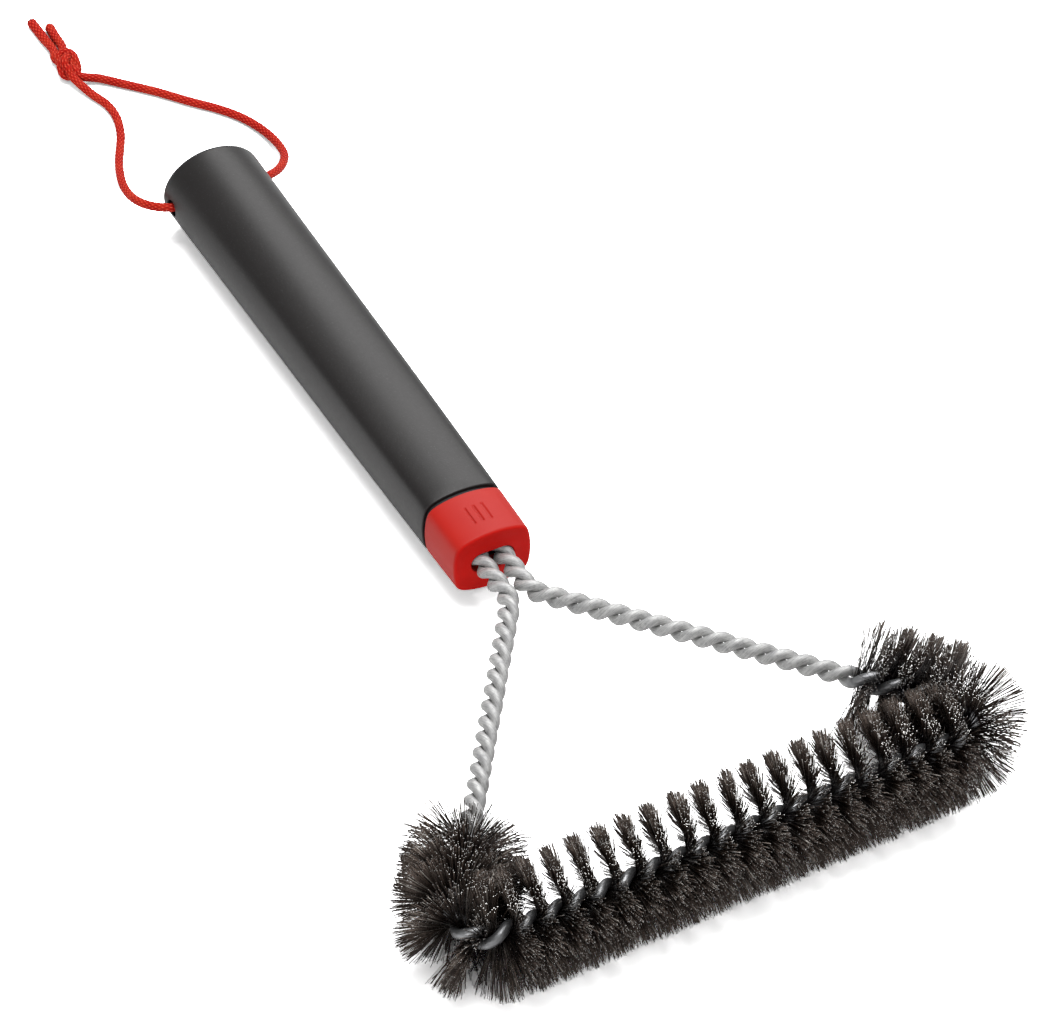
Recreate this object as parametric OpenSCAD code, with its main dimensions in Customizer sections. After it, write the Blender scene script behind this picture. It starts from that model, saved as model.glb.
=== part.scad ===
// Grill cleaning brush: a tapered handle with a nose collar, a twisted
// two-strand stem bent into a triangle, a steel filament pack on its outer
// side, and a hanging cord. Millimetres. The origin is the centre of the
// handle's flat butt face, +Y points out of the butt, the wire head lies
// towards -Y and +Z is up. The stem's plane and the handle's axis are z = 0.
// Front means towards -Y, rear towards +Y, left towards -X.

/* [Handle] */
// Length of the handle from the butt face to the collar's front face
handle_len = 169; // [150:1:200]
// Full width of the handle at the butt
butt_w = 28.4; // [28:0.2:31]
// Full height of the handle at the butt
butt_h = 23.8; // [23:0.2:26]
// Full width of the handle at the collar's front face
nose_w = 22.2; // [22:0.2:24]
// Full height of the handle at the collar's front face
nose_h = 18.6; // [18.4:0.2:20]
// Crown of the top and bottom at the collar, as a share of the half height
top_crown = 0.26; // [0.15:0.01:0.3]
// Crown of the sides at the collar, as a share of the half width
side_crown = 0.15; // [0.1:0.01:0.25]
// Sharpness of the four lengthwise corners at the collar
corner_k = 15; // [10:1:24]
// How late along the handle the corners fade into the butt's ellipse
fade_rate = 1.7; // [1:0.1:2.5]
// Wall thickness of the outer sleeve
sleeve_wall = 2.4; // [2:0.1:2.5]
// Thickness of the closed end of the sleeve
butt_wall = 3; // [2.5:0.1:3.2]
// Edge radius around the butt face
butt_edge = 1.8; // [1:0.1:2]

/* [Collar] */
// Visible length of the collar
collar_len = 16.4; // [15:0.2:20]
// Width of the recessed ring between the collar and the sleeve
ring_gap = 1.4; // [1:0.1:2]
// Depth of the recessed ring
ring_depth = 0.9; // [0.5:0.1:1.2]
// Edge radius around the collar's front face
collar_edge = 0.8; // [0.4:0.1:1.2]
// Length of the three shallow grooves on top of the collar
groove_len = 6.4; // [4:0.2:8]
// Depth of those grooves
groove_depth = 0.3; // [0.2:0.05:0.5]

/* [Wire stem] */
// Diameter of one strand of the stem
wire_d = 2.8; // [2.4:0.1:2.9]
// Half of the distance between the two stem ends in the handle
stem_x = 3.1; // [3.1:0.05:3.3]
// Length of one full turn of the bare twist
bare_pitch = 11.3; // [10.5:0.1:13]
// Length of one full turn of the twist inside the filament pack
pack_pitch = 14; // [12:0.2:16]
// Distance from the collar's front face to the point where both arms meet
fork_y = 11.4; // [10:0.2:16]
// Length of one arm from that point to the corner of the triangle
arm_len = 133; // [110:1:150]
// Half of the angle between the two arms, in degrees
fork_half = 37.6; // [32:0.2:42]
// Set of the whole wire head about the handle's axis, in degrees
head_set = 3.6; // [-4:0.2:4]
// Turn of the twist about the stem's line, in degrees
twist_phase = -62; // [-180:2:180]
// Bend radius of the stem at the two corners
corner_r = 8; // [7:0.5:10]
// Bend radius of the stem where each arm leaves the handle's line
fork_r = 10; // [6:0.5:12]

/* [Filament pack] */
// Outer diameter of the filament pack
pack_d = 32.6; // [28:0.2:36]
// Length of the pack on each arm, measured from the corner
pack_arm = 42; // [34:1:60]

/* [Hanging cord] */
// Diameter of the cord
cord_d = 2.4; // [2:0.1:2.6]
// Diameter of the cross hole for the cord
hole_d = 5; // [4.8:0.1:5.2]
// Distance from the butt face to the middle of the cross hole
hole_y = 6; // [5.8:0.1:6.2]

/* [Hidden] */

// Stations along Y, from front to rear
face_y = -handle_len;            // front face of the collar
nose_y = face_y + 4.6;           // front of the cavity in the collar
seam_y = face_y + collar_len;    // rear edge of the collar
pocket_y = seam_y + 6.6;         // rear of the ferrule's pocket
sleeve_y = seam_y + ring_gap;    // front edge of the sleeve
stem_end_y = face_y + 34;        // ends of the stem inside the handle

// Handle fits
seam_edge = 0.3;                 // edge radius on both sides of the ring
sleeve_play = 0.12;              // gap between core and sleeve wall
butt_play = 0.3;                 // gap between core and the sleeve's closed end
ring_play = 0.05;                // gap at each side of the recessed ring

// Core's nose, inside the collar
nose_half = [8.8, 6.6];          // half width and half height
nose_power = 3.4;                // squareness of its section
nose_play = 0.1;                 // gap between nose and collar
bead_rise = 0.3;                 // height of the retaining bead
bead_front = 5.2;                // its two edges, as distances
bead_rear = 4;                   // in front of the collar's rear edge

// Core's body, inside the sleeve
oversize = 40;                   // wider and higher than the handle
plug_len = 24;                   // solid front end
tail_y = -17;                    // front of the solid rear end
tail_len = 14;
web_t = 2.6;                     // lengthwise webs
rib_t = 2;                       // cross ribs
rib_count = 4;

// Ferrule and the holes for the stem
ferrule_r = 4.3;
ferrule_bore_r = 2.95;
core_bore_r = 3;
collar_bore_r = 3.1;

// Grooves on the collar
groove_w = 0.7;
groove_step = 2.4;               // spacing across the handle
groove_start = 5;                // distance behind the collar's face
groove_ref = 8;                  // where the crown's height is taken

// ---------- shared shapes ----------

function mix(a, b, t) = a + (b - a) * t;
function unit(v) = v / norm(v);

// Solid through a list of rings that all have the same number of points.
module skin(rings) {
    k = len(rings[0]);
    m = len(rings);
    polyhedron(
        points = [for (ring = rings) each ring],
        faces = concat(
            [[for (j = [k - 1 : -1 : 0]) j]],
            [for (i = [0 : m - 2], j = [0 : k - 1], half = [0, 1])
                let (a = i * k + j,
                     b = i * k + (j + 1) % k,
                     c = (i + 1) * k + (j + 1) % k,
                     d = (i + 1) * k + j)
                half == 0 ? [a, b, c] : [a, c, d]],
            [[for (j = [0 : k - 1]) (m - 1) * k + j]]));
}

// Box centred on the handle's axis.
module block(y0, length, w = oversize, h = oversize)
    translate([-w / 2, y0, -h / 2]) cube([w, length, h]);

// Two cylinders along Y, one on each stem end's line.
module rod_pair(r, y0, y1)
    for (side = [-1, 1])
        translate([side * stem_x, y0, 0]) rotate([-90, 0, 0])
            cylinder(r = r, h = y1 - y0, $fn = 48);

// The same cylinders joined by a slab: an oval prism.
module oval(r, y0, y1) {
    rod_pair(r, y0, y1);
    block(y0, y1 - y0, 2 * stem_x, 2 * r);
}

// ---------- handle sections ----------

// Angles round a section, closer together at the corners.
quarter_points = 14;
section_angles = [for (quarter = [0 : 3], i = [0 : quarter_points - 1])
    let (u = 2 * i / quarter_points - 1)
    90 * quarter + 45 + 45 * sign(u) * pow(abs(u), 1.35)];

// Share of the way from the collar's front face (0) to the butt (1).
function along(y) = (y - face_y) / handle_len;
function half_w(y) = mix(nose_w, butt_w, along(y)) / 2;
function half_h(y) = mix(nose_h, butt_h, along(y)) / 2;

// Radius of the unit section at an angle: crowned sides with tight corners.
function crowned(angle) =
    let (c = abs(cos(angle)),
         s = abs(sin(angle)),
         to_top = 2 / (s + sqrt(s * s + 4 * top_crown * c * c)),
         to_side = 2 / (c + sqrt(c * c + 4 * side_crown * s * s)))
    pow(pow(to_top, -corner_k) + pow(to_side, -corner_k), -1 / corner_k);

// Points of the handle's outline at y, set inwards by inset.
function section(y, inset = 0) =
    let (a = half_w(y) - inset,
         b = half_h(y) - inset,
         fade = pow(along(y), fade_rate))
    [for (angle = section_angles)
        let (r = mix(crowned(angle), 1, fade))
        [a * r * cos(angle), y, b * r * sin(angle)]];

// Height of the handle's top at x, near the collar.
function top_z(x, y) = half_h(y) * (1 - top_crown * pow(x / half_w(y), 2));

// Solid piece of the handle from y0 to y1 with rounded front and rear edges.
module handle_piece(y0, front_edge, y1, rear_edge, steps)
    skin(concat(
        [for (q = [0 : 30 : 90])
            section(y0 + front_edge * (1 - cos(q)), front_edge * (1 - sin(q)))],
        [for (i = [1 : steps - 1])
            section(mix(y0 + front_edge, y1 - rear_edge, i / steps))],
        [for (q = [0 : 30 : 90])
            section(y1 - rear_edge * (1 - sin(q)), rear_edge * (1 - cos(q)))]));

// Filling of the sleeve from y0 to y1.
module sleeve_filling(inset, y0, y1)
    skin([section(y0, inset),
          section(mix(sleeve_y, -butt_wall, 0.5), inset),
          section(y1, inset)]);

// Prism along Y with a rounded-square section, size = [half width, half height].
module prism(size, y0, y1)
    translate([0, y1, 0]) rotate([90, 0, 0])
        linear_extrude(height = y1 - y0)
            polygon([for (j = [0 : 47])
                let (c = cos(7.5 * j), s = sin(7.5 * j))
                [size.x * sign(c) * pow(abs(c), 2 / nose_power),
                 size.y * sign(s) * pow(abs(s), 2 / nose_power)]]);

// The core's nose with its bead, enlarged by gap, up to rear_y.
module nose(gap, rear_y) {
    size = nose_half + [gap, gap];
    prism(size, nose_y + nose_play - gap, rear_y);
    prism(size + [bead_rise, bead_rise],
          seam_y - bead_front - gap, seam_y - bead_rear + gap);
}

module cord_bore()
    translate([-butt_w, -hole_y, 0]) rotate([0, 90, 0])
        cylinder(d = hole_d, h = 2 * butt_w, $fn = 64);

// ---------- handle parts ----------

module handle_sleeve() color([0.2, 0.2, 0.21]) difference() {
    handle_piece(sleeve_y, seam_edge, 0, butt_edge, 5);
    sleeve_filling(sleeve_wall, sleeve_y - 1, -butt_wall);
    cord_bore();
}

// Solid ends, crossed webs and ribs of the core, before trimming.
module core_frame() {
    block(sleeve_y - 1, plug_len);
    block(sleeve_y, -sleeve_y, h = web_t);
    block(sleeve_y, -sleeve_y, w = web_t);
    block(tail_y, tail_len);
    for (i = [1 : rib_count])
        block(mix(sleeve_y + plug_len, tail_y, i / (rib_count + 1)) - rib_t / 2, rib_t);
}

module handle_core() color([0.06, 0.06, 0.065]) difference() {
    union() {
        // recessed ring between the collar and the sleeve
        skin([section(seam_y + ring_play, ring_depth),
              section(sleeve_y - ring_play, ring_depth)]);
        nose(0, seam_y + 0.1);
        intersection() {
            sleeve_filling(sleeve_wall + sleeve_play, sleeve_y - 0.1,
                           -butt_wall - butt_play);
            core_frame();
        }
    }
    oval(ferrule_r + 0.1, nose_y - 1, pocket_y);
    rod_pair(core_bore_r, pocket_y - 1, stem_end_y + 2);
    cord_bore();
}

module collar() color([0.8, 0.12, 0.1]) difference() {
    handle_piece(face_y, collar_edge, seam_y, seam_edge, 3);
    nose(nose_play, seam_y + 1);
    oval(collar_bore_r, face_y - 1, nose_y + 1);
    // three grooves on top, following the crown
    for (x = [-groove_step, 0, groove_step])
        translate([x - groove_w / 2, face_y + groove_start,
                   top_z(x, face_y + groove_ref) - groove_depth])
            cube([groove_w, groove_len, 5]);
}

module stem_ferrule() color([0.72, 0.73, 0.74]) difference() {
    oval(ferrule_r, nose_y + 0.2, pocket_y - 0.3);
    rod_pair(ferrule_bore_r, nose_y - 1, pocket_y + 1);
}

// ---------- stem path ----------

// The stem's centre line lies in z = 0: five straights joined by four bends.
// It runs from the left end in the handle round the triangle to the right end.
left_angle = fork_half - head_set;
right_angle = fork_half + head_set;
fork = [0, face_y - fork_y];
path = [[-stem_x, stem_end_y],
        fork + stem_x * [-1, -1 / tan(left_angle)],
        fork + arm_len * [-sin(left_angle), -cos(left_angle)],
        fork + arm_len * [sin(right_angle), -cos(right_angle)],
        fork + stem_x * [1, -1 / tan(right_angle)],
        [stem_x, stem_end_y]];
bend_r = [0, fork_r, corner_r, corner_r, fork_r, 0];
left = 2;                        // index of the left corner in path
right = 3;                       // index of the right corner

// Direction of straight i, from path[i] to path[i + 1].
function heading(i) = atan2(path[i + 1].y - path[i].y, path[i + 1].x - path[i].x);

// At each path point: turn in degrees (positive to the left), distance from
// the point to where its bend starts, and length of the bend.
turn = [for (i = [0 : 5]) i == 0 || i == 5 ? 0 : heading(i) - heading(i - 1)];
setback = [for (i = [0 : 5]) bend_r[i] * tan(abs(turn[i]) / 2)];
arc_len = [for (i = [0 : 5]) bend_r[i] * abs(turn[i]) * PI / 180];
straight_len = [for (i = [0 : 4])
    norm(path[i + 1] - path[i]) - setback[i] - setback[i + 1]];

// Path length at the start of straight i.
function start_of(i) =
    i == 0 ? 0 : start_of(i - 1) + straight_len[i - 1] + arc_len[i];

// Point and heading, [x, y, heading], at a distance into bend i, which
// starts at the point from with the heading angle.
function on_bend(i, from, angle, dist) =
    let (r = sign(turn[i]) * bend_r[i],
         now = angle + dist / r * 180 / PI,
         centre = from + r * [-sin(angle), cos(angle)])
    concat(centre + r * [sin(now), -cos(now)], [now]);

// The same at path length s, searching from straight i.
function stem_at(s, i = 0) =
    let (dist = s - start_of(i),
         angle = heading(i),
         ahead = [cos(angle), sin(angle)],
         from = path[i] + ahead * setback[i],
         past = dist - straight_len[i])
    past <= 0 || i == 4 ? concat(from + ahead * dist, [angle])
    : past < arc_len[i + 1]
        ? on_bend(i + 1, from + ahead * straight_len[i], angle, past)
        : stem_at(s, i + 1);

// Path lengths where the filament pack starts and ends, and of the whole stem
pack_start = start_of(1) + straight_len[1] - (pack_arm - setback[left]);
pack_end = start_of(3) + (pack_arm - setback[right]);
stem_len = start_of(4) + straight_len[4];

// Turns of twist up to those three places
start_turns = pack_start / bare_pitch;
end_turns = start_turns + (pack_end - pack_start) / pack_pitch;
stem_turns = end_turns + (stem_len - pack_end) / bare_pitch;

// Path length after a number of turns.
function length_at(turns) =
    turns < start_turns ? turns * bare_pitch
    : turns < end_turns ? pack_start + (turns - start_turns) * pack_pitch
    : pack_end + (turns - end_turns) * bare_pitch;

// ---------- wire strands ----------

strand_sides = 7;
rings_per_turn = 11;
strand_gap = 0.05;               // from a strand to the stem's centre line
pack_spread = 0.15;              // added to it inside the pack
spread_len = 6;                  // length over which it is added

// Distance of a strand's centre from the stem's centre line.
function smooth(v) = let (c = min(1, max(0, v))) c * c * (3 - 2 * c);
function lay(s) = wire_d / 2 + strand_gap
    + pack_spread * smooth((s - pack_start) / spread_len + 0.5)
                  * smooth((pack_end - s) / spread_len + 0.5);

// Ring of a strand after a number of turns, square to the strand's own line.
function strand_ring(turns, phase) =
    let (s = length_at(turns),
         seat = stem_at(s),
         q = phase - 360 * turns,
         r = lay(s),
         pitch = s < pack_start || s > pack_end ? bare_pitch : pack_pitch,
         ahead = [cos(seat[2]), sin(seat[2]), 0],
         side = [-sin(seat[2]), cos(seat[2]), 0],
         outward = side * cos(q) + [0, 0, sin(q)],
         around = side * -sin(q) + [0, 0, cos(q)],
         across = cross(unit(ahead - around * (2 * PI * r / pitch)), outward),
         centre = [seat.x, seat.y, 0] + outward * r)
    [for (j = [0 : strand_sides - 1])
        let (f = -360 * j / strand_sides)
        centre + wire_d / 2 * (outward * cos(f) + across * sin(f))];

// One round wire wound left-handed about the stem's centre line.
module strand(phase) {
    count = floor(stem_turns * rings_per_turn);
    skin([for (k = [0 : count]) strand_ring(stem_turns * k / count, phase)]);
}

module wire_strand_a() color([0.74, 0.74, 0.75]) strand(twist_phase);
module wire_strand_b() color([0.66, 0.66, 0.67]) strand(twist_phase + 180);

// ---------- filament pack ----------

bristle_color = [0.13, 0.11, 0.1];
pack_r = pack_d / 2;
// clears the strands inside the pack by 0.15
bore_r = wire_d + strand_gap + pack_spread + 0.15;
zone_gap = 0.1;                  // half of the gap between two zones
fan_gap = 0.4;                   // gap at each end of a fan, in degrees
fan_inner = 0.4;                 // least distance from the bend's axis

// Places children at path point i with +X along the outgoing straight.
module at_corner(i)
    translate([path[i].x, path[i].y, 0]) rotate([0, 0, heading(i)]) children();

// Large box on the outgoing or the incoming side of corner i's bisector plane.
module bisector_side(i, outgoing)
    at_corner(i) rotate([0, 0, (180 - turn[i]) / 2])
        translate([-10, outgoing ? -200 - zone_gap : zone_gap, -40])
            cube([200, 200, 80]);

// Straight pack along +X with a bore for the stem.
module straight_pack(length) difference() {
    rotate([0, 90, 0]) cylinder(r = pack_r, h = length, $fn = 72);
    translate([-1, 0, 0]) rotate([0, 90, 0])
        cylinder(r = bore_r, h = length + 2, $fn = 48);
}

// Pack on the arm that leaves (outgoing) or reaches corner i.
module arm_pack(i, outgoing) intersection() {
    at_corner(i) rotate([0, 0, outgoing ? 0 : 180 - turn[i]])
        translate([setback[i] + zone_gap, 0, 0])
            straight_pack(pack_arm - setback[i] - zone_gap);
    bisector_side(i, outgoing);
}

// Fan of filaments round the outside of the bend at corner i.
module fan(i)
    at_corner(i) translate([setback[i], bend_r[i], 0])
        rotate([0, 0, -90 - turn[i] + fan_gap])
            rotate_extrude(angle = turn[i] - 2 * fan_gap, $fn = 96) difference() {
                intersection() {
                    translate([bend_r[i], 0]) circle(r = pack_r, $fn = 72);
                    translate([fan_inner, -pack_r]) square([100, 2 * pack_r]);
                }
                translate([bend_r[i], 0]) circle(r = bore_r, $fn = 48);
            }

module bristles_bar() color(bristle_color) intersection() {
    at_corner(left) translate([setback[left] + zone_gap, 0, 0])
        straight_pack(straight_len[left] - 2 * zone_gap);
    bisector_side(left, true);
    bisector_side(right, false);
}

module bristles_corner_left() color(bristle_color) fan(left);
module bristles_corner_right() color(bristle_color) fan(right);
module bristles_arm_left() color(bristle_color) arm_pack(left, false);
module bristles_arm_right() color(bristle_color) arm_pack(right, true);

// ---------- hanging cord ----------

// Slope of the ground when the brush lies on its filaments and its butt.
ground_slope = (pack_r - butt_h / 2)
    / (handle_len + fork_y + arm_len * cos(fork_half));

// Centre of a cord lying at x, y, raised by up above the ground.
function lie(x, y, up = 0) =
    [x, y, -butt_h / 2 + ground_slope * y + cord_d / 2 + 0.15 + up];

// The cord's points, as [x, y, z] or lie(x, y, up). It runs from the knot up
// the left side, straight through the cross hole and back down the right side.
knot_at = lie(-10.1, 70.8, 2);
cord_loop = [
    lie(-10.6, 67.6, 1.2), lie(-8.6, 59, 0.2), lie(-6.5, 52.6),
    lie(-6.4, 46.6), lie(-8.3, 39.7), lie(-10.9, 34.4, 0.4),
    lie(-13.9, 28.6, 1.2), lie(-16.8, 21.6, 2.8), lie(-18.9, 14.6, 4.6),
    lie(-19.8, 7.8, 6.6), lie(-19.4, 2.2, 8.5), [-17.9, -1.6, -1],
    [-16.3, -3.9, -0.3], [-14.6, -hole_y + 0.6, 0],
    [-12.6, -hole_y, 0], [0, -hole_y, 0], [12.6, -hole_y, 0],
    [14.7, -hole_y + 0.5, -0.2], [16.8, -4.1, -1.2], [19.8, -1.4, -3],
    lie(23.4, 2.9, 5.4), lie(26.4, 8.6, 3.2), lie(27.5, 17, 1.2),
    lie(26.6, 24.6, 0.2), lie(24, 31.2), lie(20.3, 36.7),
    lie(14.1, 43.8), lie(8.1, 51.2), lie(1.7, 58), lie(-3.7, 63.6, 0.3),
    lie(-8.9, 68.3, 1.4)];
left_tail = [knot_at + [-0.6, 2.6, 0], lie(-10.4, 79, 0.8),
             lie(-10.2, 86), lie(-10.4, 94.2)];
right_tail = [knot_at + [1.2, 2.6, 0], lie(-7.6, 79.4, 0.8),
              lie(-7.1, 85.4), lie(-6.7, 90.8)];

// Point at u on a smooth line through the points; whole u are the points.
function spline(points, u) =
    let (last = len(points) - 1,
         i = min(last - 1, floor(u)),
         t = u - i,
         a = points[max(0, i - 1)],
         b = points[i],
         c = points[i + 1],
         d = points[min(last, i + 2)])
    0.5 * (2 * b + (c - a) * t + (2 * a - 5 * b + 4 * c - d) * t * t
           + (3 * b - a - 3 * c + d) * t * t * t);

// Round cord along a smooth line through the points, with a number of steps
// between two points. It never runs parallel to the direction ref.
module tube(points, d, steps, ref = [0.1, 0.2, 1]) {
    sides = 10;
    last = len(points) - 1;
    skin([for (k = [0 : last * steps])
        let (u = k / steps,
             centre = spline(points, u),
             ahead = unit(spline(points, min(last, u + 0.05))
                          - spline(points, max(0, u - 0.05))),
             side = unit(cross(ref, ahead)),
             up = cross(ahead, side))
        [for (j = [0 : sides - 1])
            let (f = -360 * j / sides)
            centre + d / 2 * (side * cos(f) + up * sin(f))]]);
}

// Overhand knot: a thick middle with three turns over it.
module knot() {
    tube([[-0.2, -3.9, -0.5], [0, 0, -0.3], [0.1, 3.6, -0.5]], 4.6, 2);
    for (y = [-2.1, 0.1, 2.2])
        tube([for (a = [-20 : 44 : 200])
                 [2.2 * cos(a), y + (a - 90) / 120, 2.2 * sin(a) - 0.4]],
             2.9, 2, ref = [0.1, 1, 0.05]);
}

module hanging_cord() color([0.85, 0.2, 0.13]) {
    for (points = [cord_loop, left_tail, right_tail])
        tube(points, cord_d, 3);
    translate(knot_at) knot();
}

handle_sleeve();
handle_core();
collar();
stem_ferrule();
wire_strand_a();
wire_strand_b();
bristles_bar();
bristles_corner_left();
bristles_corner_right();
bristles_arm_left();
bristles_arm_right();
hanging_cord();
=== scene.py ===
"""A grill brush: a moulded handle with a collar, a twisted wire stem bent into a
triangular head with steel filaments pinched in it, and a knotted hanging cord.

The brush points along -y with its butt at y = 0; +z is up. Front is -y, left is -x
and right is +x. Shapes are in millimetres, lights in metres. The brush lies on a
slightly sloping ground, touching it with its butt and its head."""
import math
from math import radians

import bpy
import numpy as np
from mathutils import Matrix, Vector


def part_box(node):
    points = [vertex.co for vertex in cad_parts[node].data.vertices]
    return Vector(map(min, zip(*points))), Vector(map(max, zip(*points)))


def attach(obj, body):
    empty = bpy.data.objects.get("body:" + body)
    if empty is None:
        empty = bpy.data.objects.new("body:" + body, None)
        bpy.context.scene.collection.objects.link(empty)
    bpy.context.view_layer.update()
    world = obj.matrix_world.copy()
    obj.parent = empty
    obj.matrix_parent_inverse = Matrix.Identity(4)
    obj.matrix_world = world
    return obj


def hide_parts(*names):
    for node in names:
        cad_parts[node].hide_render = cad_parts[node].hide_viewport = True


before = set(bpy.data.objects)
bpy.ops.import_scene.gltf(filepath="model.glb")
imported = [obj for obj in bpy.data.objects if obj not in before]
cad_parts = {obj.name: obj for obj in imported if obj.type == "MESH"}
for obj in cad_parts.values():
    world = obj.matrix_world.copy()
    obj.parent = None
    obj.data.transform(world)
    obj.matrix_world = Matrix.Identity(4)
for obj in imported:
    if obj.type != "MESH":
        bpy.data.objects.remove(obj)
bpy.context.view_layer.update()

MM = 0.001

# ------------------------------------------------------------------ sizes


def mm_box(node):
    low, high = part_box(node)
    return np.array(low) / MM, np.array(high) / MM


# handle
COLLAR_LOW, COLLAR_HIGH = mm_box("collar")
FACE_Y, SEAM_Y = COLLAR_LOW[1], COLLAR_HIGH[1]    # front and back of the collar
HANDLE_LEN = -FACE_Y
SLEEVE_Y = mm_box("handle_sleeve")[0][1]          # front of the sleeve
BUTT_W, BUTT_H = 28.4, 23.8
NOSE_W, NOSE_H = 22.2, 18.6
# crowns of the four sides, sharpness of the corners between them, and how they
# fade to an oval towards the butt
TOP_CROWN, SIDE_CROWN, CORNER_POWER, FADE = 0.26, 0.15, 15.0, 1.7
BUTT_EDGE_R, COLLAR_EDGE_R = 1.8, 0.8
RIM_R, SEAM_R = 0.35, 0.3                         # sleeve front, collar back
WALL, BUTT_WALL = 2.4, 3
# cord hole
HOLE_R, HOLE_Y = 2.5, 6.0
HOLE_TRIM, MOUTH_FLARE = 0.12, 0.8
# stem: two legs leave the handle and fork to the ends of a bar
WIRE_D = 2.8
LEG_X = 3.1
STEM_IN, FORK_OUT, ARM = 34.0, 11.4, 133.0
FORK_HALF, HEAD_SET = 37.6, 3.6                   # degrees
CORNER_R, FORK_R = 8.0, 10.0
BARE_PITCH, PACK_PITCH = 11.3, 14.0               # pitch of the twist
TWIST = radians(-62)                              # phase of the twist
# filament pack
BAR_LOW, BAR_HIGH = mm_box("bristles_bar")
PACK_R = (BAR_HIGH[2] - BAR_LOW[2]) / 2
PACK_ARM = 42.0                                   # reach along each arm
# cord
CORD_D = 2.4

GROUND_SLOPE = (PACK_R - BUTT_H / 2) / (
    HANDLE_LEN + FORK_OUT + ARM * math.cos(radians(FORK_HALF)))


def ground(y):
    return -BUTT_H / 2 + GROUND_SLOPE * y


# ------------------------------------------------------------------ meshes


def mesh_object(name, verts, polys, flat_groups=()):
    """verts in mm; polys is a list of (count, corners) index arrays. flat_groups
    are the indices of the arrays in polys that are flat shaded."""
    mesh = bpy.data.meshes.new(name)
    verts = np.asarray(verts, np.float64) * MM
    mesh.vertices.add(len(verts))
    mesh.vertices.foreach_set("co", verts.astype(np.float32).ravel())
    polys = [np.asarray(group, np.int32) for group in polys]
    loops = np.concatenate([group.ravel() for group in polys])
    corners = np.concatenate(
        [np.full(len(group), group.shape[1], np.int32) for group in polys])
    starts = np.concatenate([[0], np.cumsum(corners)[:-1]]).astype(np.int32)
    mesh.loops.add(len(loops))
    mesh.loops.foreach_set("vertex_index", loops)
    mesh.polygons.add(len(corners))
    mesh.polygons.foreach_set("loop_start", starts)
    smooth = np.concatenate(
        [np.full(len(group), i not in flat_groups) for i, group in enumerate(polys)])
    mesh.polygons.foreach_set("use_smooth", smooth)
    mesh.update(calc_edges=True)
    mesh.validate()
    obj = bpy.data.objects.new(name, mesh)
    bpy.context.scene.collection.objects.link(obj)
    return obj


def ring_quads(rings, sides):
    """Quads between consecutive closed rings of points."""
    i = np.arange(rings - 1)[:, None]
    j = np.arange(sides)[None, :]
    a = i * sides + j
    b = i * sides + (j + 1) % sides
    return np.stack([a, b, b + sides, a + sides], -1).reshape(-1, 4)


def skin(name, rings, flip=False):
    """A closed skin over rings, with a fan of triangles at both ends."""
    sides = len(rings[0])
    centre = len(rings) * sides
    last = centre - sides
    a = np.arange(sides)
    b = (a + 1) % sides
    polys = [ring_quads(len(rings), sides),
             np.stack([b, a, np.full(sides, centre)], -1),
             np.stack([last + a, last + b, np.full(sides, centre + 1)], -1)]
    if flip:
        polys = [group[:, ::-1] for group in polys]
    ends = [rings[0].mean(0)[None], rings[-1].mean(0)[None]]
    return mesh_object(name, np.concatenate(rings + ends), polys)


def tube(name, points, ends, tiles, flip=False, flat_groups=()):
    """A long tube over points (rings, sides, 3), capped at the two end centres and
    unwrapped as tiles x tiles square patches."""
    rings, sides = points.shape[:2]
    centre = rings * sides
    last = centre - sides
    a = np.arange(sides)
    b = (a + 1) % sides
    polys = [ring_quads(rings, sides)[:, ::-1],
             np.stack([a, b, np.full(sides, centre)], -1),
             np.stack([last + b, last + a, np.full(sides, centre + 1)], -1)]
    if flip:
        polys = [group[:, ::-1] for group in polys]
    obj = mesh_object(name, np.concatenate([points.reshape(-1, 3), ends]), polys,
                      flat_groups)

    quads = rings - 1
    per_tile = int(math.ceil(quads / (tiles * tiles)))
    i = np.repeat(np.arange(quads), sides)
    j = np.tile(np.arange(sides), quads)
    tile = i // per_tile
    pad = 0.04

    def place(di, dj):
        u = (j + dj) / sides
        v = (i + di - tile * per_tile) / per_tile
        return np.stack([(tile % tiles + pad + (1 - 2 * pad) * u) / tiles,
                         (tile // tiles + pad + (1 - 2 * pad) * v) / tiles], -1)

    corners = [place(0, 0), place(0, 1), place(1, 1), place(1, 0)]
    uv = np.stack(corners if flip else corners[::-1], 1).reshape(-1, 2)
    caps = len(obj.data.loops) - len(uv)
    add_uv(obj, np.concatenate([uv, np.full((caps, 2), 0.5 / tiles)]))
    return obj


def add_uv(obj, coords):
    layer = obj.data.uv_layers.new(name="OFBake")
    layer.data.foreach_set("uv", np.asarray(coords, np.float32).ravel())


def add_attribute(obj, name, values, end_values):
    """A value per vertex; end_values are for the two end centres of a tube."""
    layer = obj.data.attributes.new(name, "FLOAT", "POINT")
    values = np.concatenate([values, end_values])
    layer.data.foreach_set("value", np.asarray(values, np.float32))


def smoothstep(x):
    x = np.clip(x, 0, 1)
    return x * x * (3 - 2 * x)


def unit(vectors):
    return vectors / np.linalg.norm(vectors, axis=1)[:, None]


# ------------------------------------------------------------------ handle section


def section_angles(per_quarter):
    """Angles round the handle, closest together at the corners."""
    u = 2 * np.arange(per_quarter) / per_quarter - 1
    quarter = 45 + 45 * np.sign(u) * np.abs(u) ** 1.35
    return np.radians(np.concatenate([quarter + 90 * k for k in range(4)]))


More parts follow.
